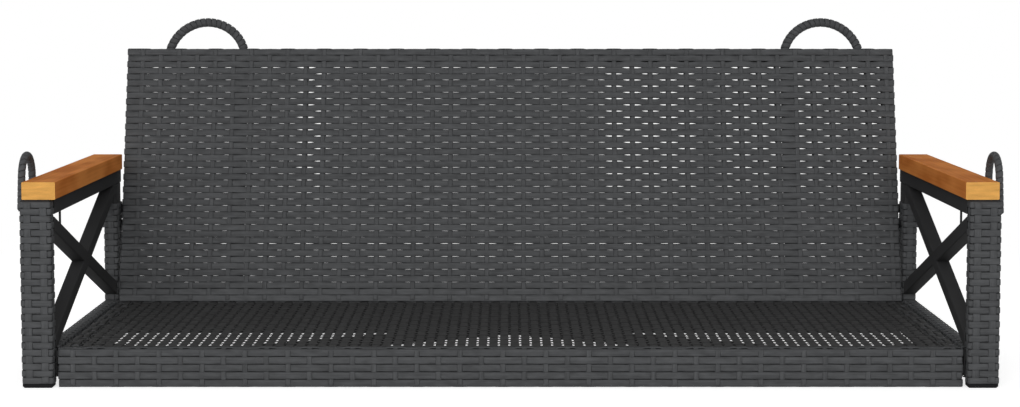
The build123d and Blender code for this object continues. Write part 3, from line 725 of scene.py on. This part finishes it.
def wood_finish(finish, colours):
    """Oiled hardwood: growth rings, bands, patches and fibres along the board, and paler sawn ends."""
    place = finish.place()
    facing = finish.node("ShaderNodeTexCoord", None, None, "Normal")
    end = abs(finish.node("ShaderNodeSeparateXYZ", None, {0: facing}, "Y")) ** 8.0
    sway = finish.noise(place, (9.0, 2.2, 9.0))
    rings = finish.node(
        "ShaderNodeTexWave",
        {"wave_type": "RINGS", "rings_direction": "Y"},
        {
            "Vector": finish.stretched(place, (1.0, 0.12, 1.9)),
            "Scale": 42.0,
            "Distortion": 5.0 * sway,
            "Detail": 2.0,
            "Detail Scale": 1.2,
        },
    )
    fibres = finish.noise(place, (900.0, 14.0, 900.0), 3.0, 0.6)
    bands = finish.noise(place, (160.0, 3.0, 160.0), 3.0, 0.55)
    patches = finish.noise(place, (32.0, 9.0, 32.0), 1.0)
    dark = rings * 0.15 + bands * 0.9 + (fibres - 0.5) * 0.5 + patches * 2.6 - 1.395
    along = finish.blend(dark, (*colours.wood, 1.0), (*colours.wood_late, 1.0))
    streaks = finish.noise(place, (30.0, 3.0, 210.0))
    specks = finish.noise(place, 900.0)
    sawn = finish.shaded(tuple(colours.wood_end), 0.52 + specks * 0.3 + streaks * 0.64)
    finish.surface(
        {
            "Base Color": finish.blend(end, along, sawn),
            "Roughness": 0.66 + fibres * 0.16,
            "Specular IOR Level": 0.04,
            "Normal": finish.bump(fibres, 0.00025, 0.5),
        }
    )


def plastic_finish(finish, colours):
    """Moulded black plastic with a fine matt grain."""
    grain = finish.noise(finish.place(), 1600.0)
    cloud = finish.noise(finish.place(), 60.0)
    finish.surface(
        {
            "Base Color": finish.shaded(tuple(colours.plastic), 0.8 + cloud * 0.4),
            "Roughness": 0.62 + cloud * 0.14,
            "Specular IOR Level": 0.05,
            "Normal": finish.bump(grain, 0.0002, 0.4),
        }
    )


def zinc_finish(finish, colours):
    """Zinc-plated fasteners, slightly mottled."""
    mottle = finish.noise(finish.place(), 320.0, 3.0)
    finish.surface(
        {
            "Base Color": finish.shaded(tuple(colours.zinc), 0.8 + mottle * 0.4),
            "Roughness": 0.26 + mottle * 0.22,
            "Metallic": 1.0,
            "Normal": finish.bump(mottle, 0.0001, 0.3),
        }
    )


def finished(name, make):
    """The material of that name, made on first use."""
    material = bpy.data.materials.get(name)
    if material is None:
        material = bpy.data.materials.new(name)
        make(Finish(material), bpy.context.scene.bench_colours)
    return material


def coat(nodes, material):
    """Gives CAD nodes a finish."""
    for node in nodes:
        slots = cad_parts[node].data.materials
        slots.clear()
        slots.append(material)


def back_ways(sizes):
    """The directions up the back's slope and through it, to the rear."""
    sine, cosine = math.sin(sizes.back_tilt), math.cos(sizes.back_tilt)
    return Y_AXIS * sine + Z_AXIS * cosine, Y_AXIS * cosine - Z_AXIS * sine


def back_height(sizes):
    """Height of the back along its own slope, from the height of its box."""
    upright = centre_and_size("back_weave")[1][2] - 2 * BACK_CORNER
    depth = sizes.back_thickness - 2 * BACK_CORNER
    return (upright - depth * math.sin(sizes.back_tilt)) / math.cos(sizes.back_tilt) + 2 * BACK_CORNER


class BENCH_OT_back(bpy.types.Operator):
    """Weave the back round its frame"""

    bl_idname = "bench.back"
    bl_label = "Woven back"

    def execute(self, context):
        sizes = context.scene.bench_weave
        centre, extents = centre_and_size("back_weave")
        tall_way, deep_way = back_ways(sizes)
        tall = back_height(sizes) + sizes.back_hem
        centre = centre - tall_way * sizes.back_hem / 2
        rows = sizes.back_first_row + sizes.back_row_pitch * np.arange(sizes.back_rows) - tall / 2
        rows += np.random.default_rng(SEEDS["back stray"]).normal(0.0, sizes.row_stray, sizes.back_rows)
        warps = sizes.back_first_warp + sizes.back_warp_pitch * np.arange(sizes.back_warps) - extents[0] / 2
        panel = BackPanel(
            sizes,
            centre,
            (X_AXIS, tall_way, deep_way),
            (extents[0], tall, sizes.back_thickness),
            rows,
            warps,
            (sizes.back_row_width, sizes.warp_width),
        )
        material = finished("woven strand", strand_finish)
        half = sizes.back_rows // 2
        for name, first, end in (("lower", 0, half), ("upper", half, sizes.back_rows)):
            strands = Strands(SEEDS["back rows"] + first)
            panel.lay_rows(strands, first, end)
            strands.finish(f"back_rows_{name}", "back_weave", material)
        strands = Strands(SEEDS["back warps"])
        panel.lay_warps(strands)
        strands.finish("back_warps", "back_weave", material)
        strands = Strands(SEEDS["back edges"])
        panel.lay_edges(strands)
        strands.finish("back_edge_strands", "back_weave", material)
        return {"FINISHED"}


def apron_panel(sizes, node, wide_way, deep_way, warps, below, above):
    """The skin of a seat rail: rows along it, and warps round it. Below and above widen its box."""
    centre, box = centre_and_size(node)
    centre, box = centre + (above - below) / 2, box + below + above
    extents = [abs(float(box @ way)) for way in (wide_way, Z_AXIS, deep_way)]
    rows = even_places(extents[1], sizes.apron_row_pitch)
    widths = (sizes.apron_row_width, sizes.warp_width)
    return Panel(sizes, centre, (wide_way, Z_AXIS, deep_way), extents, rows, warps, widths)


def weave_seat_top(sizes, material):
    """The open seat: strands from front to rear, and strands across, tucked in along the seat rails."""
    node = "seat_top_weave"
    centre, box = centre_and_size(node)
    half_wide, half_long = box[0] / 2, box[1] / 2
    pitch = sizes.seat_pitch
    reach = int(half_wide / pitch)
    whole = (np.arange(-reach, reach) + 0.5) * pitch + sizes.seat_shift
    left, right = half_wide - abs(whole[[0, -1]]) - pitch + sizes.seat_width / 2
    lengthwise = np.concatenate(((left / 2 - half_wide,), whole, (half_wide - right / 2,)))
    widths = np.concatenate(((left,), np.full(len(whole), sizes.seat_width), (right,)))
    crossways = even_places(box[1], sizes.seat_cross_pitch)
    cross_widths = np.full(len(crossways), sizes.seat_cross_width)
    strands = Strands(SEEDS["seat"])
    families = (
        (lengthwise, widths, crossways, X_AXIS, Y_AXIS, half_long, 1),
        (crossways, cross_widths, lengthwise, Y_AXIS, X_AXIS, half_wide, -1),
    )
    for places, widths, crossings, side_way, run_way, half, sign in families:
        travel = spaced(crossings, ROW_SHARES[::2], (-half, half, crossings[-1]))
        for number, (place, width) in enumerate(zip(places, widths)):
            beat = over_under(travel, crossings, sign * (-1) ** number)
            height = beat * sizes.seat_lift
            middle = centre + side_way * place
            points = middle + travel[:, None] * run_way + height[:, None] * Z_AXIS
            ends = [middle + end * (half + SEAT_TUCK) * run_way - SEAT_SINK * Z_AXIS for end in (-1, 1)]
            points = np.concatenate((ends[:1], points, ends[1:]))
            normals = np.broadcast_to(Z_AXIS, points.shape)
            strands.add(points, normals, width, sizes.seat_thickness, False)
    strands.finish("seat_strands", node, material)


class BENCH_OT_seat(bpy.types.Operator):
    """Weave the seat and the skins of its four rails"""

    bl_idname = "bench.seat"
    bl_label = "Woven seat"

    def execute(self, context):
        sizes = context.scene.bench_weave
        material = finished("woven strand", strand_finish)
        # The seat and the edge strands of the rear and side aprons get a darker copy of the strand colour:
        # painted shade.
        seat_painted_shade_material = finished("seat strand", seat_painted_shade_finish)
        long_warps = sizes.apron_warp_pitch * (np.arange(sizes.back_warps) - (sizes.back_warps - 1) / 2)
        short_warps = even_places(centre_and_size("seat_left_weave")[1][1], sizes.apron_warp_pitch)
        none = np.zeros(3)
        reach = X_AXIS * sizes.front_apron_reach
        hem = Z_AXIS * sizes.front_apron_hem
        proud = Z_AXIS * sizes.rear_apron_proud
        rails = (
            ("front", X_AXIS, Y_AXIS, long_warps + sizes.front_warp_shift, reach + hem, reach),
            ("rear", -X_AXIS, -Y_AXIS, long_warps, none, proud),
            ("left", -Y_AXIS, X_AXIS, short_warps, none, none),
            ("right", Y_AXIS, -X_AXIS, short_warps, none, none),
        )
        for name, wide_way, deep_way, warps, below, above in rails:
            node = f"seat_{name}_weave"
            panel = apron_panel(sizes, node, wide_way, deep_way, warps, below, above)
            panel.phase = -1 if name == "front" else 1
            strands = Strands(SEEDS["apron"] + len(name))
            panel.lay_rows(strands, 0, len(panel.rows))
            panel.lay_warps(strands)
            strands.finish(f"seat_{name}_strands", node, material)
            edges = Strands(SEEDS["apron edges"] + len(name))
            panel.lay_edges(edges)
            # Painted shade: the rear and side aprons' edge strands take the seat's darker colour, so they
            # merge with the shaded seat.
            edge_material = material if name == "front" else seat_painted_shade_material
            edges.finish(f"seat_{name}_edge_strands", node, edge_material)
        weave_seat_top(sizes, seat_painted_shade_material)
        return {"FINISHED"}


class BENCH_OT_sides(bpy.types.Operator):
    """Weave the posts and the bottom rails of both side frames"""

    bl_idname = "bench.sides"
    bl_label = "Woven side frames"

    def execute(self, context):
        sizes = context.scene.bench_weave
        material = finished("woven strand", strand_finish)
        warps = np.array((-sizes.post_warp_offset, sizes.post_warp_offset))
        widths = (sizes.post_row_width, sizes.post_warp_width)
        for side, inward in (("left", X_AXIS), ("right", -X_AXIS)):
            skins = (
                ("front_post", (X_AXIS, Z_AXIS, Y_AXIS)),
                ("rear_post", (np.cross(Z_AXIS, -inward), Z_AXIS, inward)),
                ("bottom_rail", (np.cross(Y_AXIS, -inward), Y_AXIS, inward)),
            )
            for name, directions in skins:
                node = f"{side}_{name}_weave"
                centre, box = centre_and_size(node)
                extents = [abs(float(box @ way)) for way in directions]
                rows = even_places(extents[1], sizes.post_row_pitch)
                panel = Panel(sizes, centre, directions, extents, rows, warps, widths, True)
                strands = Strands(SEEDS["side frame"] + len(node))
                panel.lay_rows(strands, 0, len(rows))
                panel.lay_warps(strands)
                panel.lay_edges(strands)
                strands.finish(f"{side}_{name}_strands", node, material)
        return {"FINISHED"}


def wound(strands, path, outward, sideways, radius, sizes):
    """Winds a strand round a rod along its middle line. Outward and sideways lie square to the line."""
    steps = np.linalg.norm(np.diff(path, axis=0), axis=1)
    travelled = np.concatenate(((0.0,), np.cumsum(steps)))
    turns = travelled[-1] / sizes.wrap_pitch
    travel = np.linspace(0.0, travelled[-1], int(turns * WRAP_STEPS))
    spin = (travel / sizes.wrap_pitch * 2 * math.pi)[:, None]

    def along(values):
        return np.stack([np.interp(travel, travelled, values[:, axis]) for axis in range(3)], 1)

    facing = np.cos(spin) * along(outward) + np.sin(spin) * sideways
    strands.add(along(path) + facing * radius, facing, sizes.wrap_width, sizes.wrap_thickness, False)


class BENCH_OT_wraps(bpy.types.Operator):
    """Wind a strand round each of the four hanging loops"""

    bl_idname = "bench.wraps"
    bl_label = "Loop wrappings"

    def execute(self, context):
        sizes = context.scene.bench_weave
        material = finished("woven strand", strand_finish)
        for side in SIDES:
            self.wrap_back_loop(sizes, side, material)
            self.wrap_front_loop(sizes, side, material)
        return {"FINISHED"}

    def wrap_back_loop(self, sizes, side, material):
        """The wrapping of a loop on the back, from its top edge up."""
        tall_way, deep_way = back_ways(sizes)
        back_middle = centre_and_size("back_weave")[0]
        bend = back_middle + tall_way * (back_height(sizes) / 2 - sizes.loop_drop)
        middle = bend + X_AXIS * (centre_and_size(f"back_{side}_loop")[0][0] - bend[0])
        foot = math.asin((sizes.loop_drop - WRAP_FOOT) / sizes.loop_radius)
        arch = np.linspace(foot, math.pi - foot, ARCH_POINTS["back"])[:, None]
        outward = np.cos(arch) * X_AXIS + np.sin(arch) * tall_way
        path = middle + outward * sizes.loop_radius
        strands = Strands(SEEDS["back loop"])
        wound(strands, path, outward, deep_way, (sizes.loop_rod + sizes.wrap_thickness) / 2, sizes)
        strands.finish(f"back_{side}_loop_strand", f"back_{side}_loop_wrap", material)

    def wrap_front_loop(self, sizes, side, material):
        """A front loop and its wrapping: an arch on two splayed legs beside the arm rail."""
        low, high = (np.array(corner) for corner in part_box(f"{side}_front_loop"))
        width, radius, splay = sizes.front_loop_width, sizes.front_loop_radius, sizes.front_loop_splay
        outside = low[0] + width / 2 if side == "left" else high[0] - width / 2
        middle = np.array((outside, (low[1] + high[1]) / 2, high[2] - width / 2 - radius))
        arch = np.linspace(math.pi - splay, splay, ARCH_POINTS["front"])[:, None]
        outward = np.cos(arch) * Y_AXIS + np.sin(arch) * Z_AXIS
        path = middle + outward * radius
        drop = (path[0][2] - low[2] - width * math.sin(splay) / 2) * np.array((0.0, math.tan(splay), 1.0))
        path = np.concatenate(([path[0] - drop], path, [path[-1] - drop * (1.0, -1.0, 1.0)]))
        outward = np.concatenate((outward[:1], outward, outward[-1:]))
        strands = Strands(SEEDS["front loop"])
        core = width - CORE_TRIM * sizes.wrap_thickness
        strands.add(path, np.broadcast_to(X_AXIS, path.shape), core, core, False, ROUND_SECTION)
        wound(strands, path, outward, X_AXIS, (width - sizes.wrap_thickness) / 2, sizes)
        strands.finish(f"{side}_front_loop_strand", f"{side}_front_loop", material)


class BENCH_OT_armrests(bpy.types.Operator):
    """Finish the armrests in oiled wood"""

    bl_idname = "bench.armrests"
    bl_label = "Armrests"

    def execute(self, context):
        coat(WOOD_NODES, finished("oiled wood", wood_finish))
        return {"FINISHED"}


class BENCH_OT_steel(bpy.types.Operator):
    """Coat the tubes, braces and loops"""

    bl_idname = "bench.steel"
    bl_label = "Steelwork"

    def execute(self, context):
        coat(STEEL_NODES, finished("black powder coat", steel_finish))
        return {"FINISHED"}


class BENCH_OT_plastic(bpy.types.Operator):
    """Finish the feet, end caps and spacers"""

    bl_idname = "bench.plastic"
    bl_label = "Feet and caps"

    def execute(self, context):
        coat(PLASTIC_NODES, finished("moulded plastic", plastic_finish))
        return {"FINISHED"}


class BENCH_OT_fasteners(bpy.types.Operator):
    """Plate the bolts, washers, nuts and screws"""

    bl_idname = "bench.fasteners"
    bl_label = "Fasteners"

    def execute(self, context):
        coat(ZINC_NODES, finished("zinc plate", zinc_finish))
        return {"FINISHED"}


def seen_directly(finish):
    """1 for rays from the camera, reflections and glass, 0 for the light that falls on the bench."""
    names = ("Is Camera Ray", "Is Glossy Ray", "Is Transmission Ray")
    camera, glossy, glass = (finish.node("ShaderNodeLightPath", None, None, name) for name in names)
    return camera.maths("MAXIMUM", camera, glossy.maths("MAXIMUM", glossy, glass))


def add_light(name, place, size, power, glossy):
    """A soft rectangular lamp that faces the bench and stays out of sight."""
    lamp = bpy.data.lights.new(name, "AREA")
    lamp.shape = "RECTANGLE"
    lamp.size, lamp.size_y = size
    lamp.energy = power
    light = bpy.data.objects.new(name, lamp)
    light.visible_camera = False
    light.visible_glossy = glossy
    light.location = place
    light.rotation_euler = (Vector(LIGHT_TARGET) - Vector(place)).to_track_quat("-Z", "Y").to_euler()
    bpy.context.scene.collection.objects.link(light)


class BENCH_OT_stage(bpy.types.Operator):
    """Set out the floor, the light and the camera"""

    bl_idname = "bench.stage"
    bl_label = "Studio"

    def execute(self, context):
        scene = context.scene
        stage = scene.bench_stage
        scene.view_settings.view_transform = "Standard"
        mesh = bpy.data.meshes.new("studio floor")
        corners = [(FLOOR_HALF * x, FLOOR_HALF * y, 0.0) for x, y in ((-1, -1), (1, -1), (1, 1), (-1, 1))]
        mesh.from_pydata(corners, [], [(0, 1, 2, 3)])
        mesh.materials.append(finished("studio floor", self.floor_finish))
        floor = bpy.data.objects.new("studio_floor", mesh)
        scene.collection.objects.link(floor)
        self.light_world(scene, stage.sky)
        for name, place, size, setting, glossy in LIGHTS:
            add_light(name, place, size, getattr(stage, setting), glossy)
        lens = bpy.data.cameras.new("photo camera")
        lens.lens = stage.lens
        lens.shift_y = stage.shift / IMAGE_WIDTH
        camera = bpy.data.objects.new("photo_camera", lens)
        camera.location = stage.camera_place
        camera.rotation_euler = (math.pi / 2 - stage.camera_pitch, 0.0, 0.0)
        scene.collection.objects.link(camera)
        scene.camera = camera
        return {"FINISHED"}

    def floor_finish(self, finish, colours):
        """Pale floor that lights the bench plainly and shows white with a faint shadow."""
        plain = finish.node("ShaderNodeBsdfDiffuse", None, {"Color": (*colours.floor, 1.0)})
        lit = finish.node("ShaderNodeBsdfDiffuse", None, {"Color": (FLOOR_LIT, FLOOR_LIT, FLOOR_LIT, 1.0)})
        glow = finish.node("ShaderNodeEmission", None, {"Color": WHITE, "Strength": FLOOR_GLOW})
        near = finish.node("ShaderNodeAddShader", None, {0: lit, 1: glow})
        white = finish.node("ShaderNodeEmission", None, {"Color": WHITE, "Strength": 1.0})
        distance = finish.node("ShaderNodeVectorMath", {"operation": "LENGTH"}, {0: finish.place()}, 1)
        far = finish.node("ShaderNodeMapRange", None, {0: distance, 1: SHADOW_REACH[0], 2: SHADOW_REACH[1]})
        shown = finish.node("ShaderNodeMixShader", None, {0: far, 1: near, 2: white})
        mixed = finish.node("ShaderNodeMixShader", None, {0: seen_directly(finish), 1: plain, 2: shown})
        finish.node("ShaderNodeOutputMaterial", None, {"Surface": mixed})

    def light_world(self, scene, sky):
        """White where it is seen, and a plain sky for the light on the bench."""
        scene.world = bpy.data.worlds.new("studio")
        finish = Finish(scene.world)
        light = finish.node("ShaderNodeBackground", None, {"Color": WHITE, "Strength": sky})
        shown = finish.node("ShaderNodeBackground", None, {"Color": WHITE, "Strength": 1.0})
        mixed = finish.node("ShaderNodeMixShader", None, {0: seen_directly(finish), 1: light, 2: shown})
        finish.node("ShaderNodeOutputWorld", None, {"Surface": mixed})


STEPS = (
    BENCH_OT_back,
    BENCH_OT_seat,
    BENCH_OT_sides,
    BENCH_OT_wraps,
    BENCH_OT_armrests,
    BENCH_OT_steel,
    BENCH_OT_plastic,
    BENCH_OT_fasteners,
    BENCH_OT_stage,
)


class BENCH_PT_panel(bpy.types.Panel):
    """Lists the bench's settings and its steps"""

    bl_idname = "BENCH_PT_panel"
    bl_label = "Porch Swing Bench"
    bl_space_type = "VIEW_3D"
    bl_region_type = "UI"
    bl_category = "Bench"

    def draw(self, context):
        for group in (context.scene.bench_weave, context.scene.bench_colours, context.scene.bench_stage):
            column = self.layout.column()
            for name in group.__annotations__:
                column.prop(group, name)
        for step in STEPS:
            self.layout.operator(step.bl_idname)


GROUPS = {"bench_weave": BenchWeave, "bench_colours": BenchColours, "bench_stage": BenchStage}
CLASSES = (*GROUPS.values(), *STEPS, BENCH_PT_panel)


def register():
    for each in CLASSES:
        bpy.utils.register_class(each)
    for name, group in GROUPS.items():
        setattr(bpy.types.Scene, name, bpy.props.PointerProperty(type=group))


def unregister():
    for name in GROUPS:
        delattr(bpy.types.Scene, name)
    for each in reversed(CLASSES):
        bpy.utils.unregister_class(each)


def main():
    """Builds the scene step by step."""
    register()
    for step in STEPS:
        group, name = step.bl_idname.split(".")
        getattr(getattr(bpy.ops, group), name)()
    bpy.context.view_layer.update()


if __name__ == "__main__":
    main()
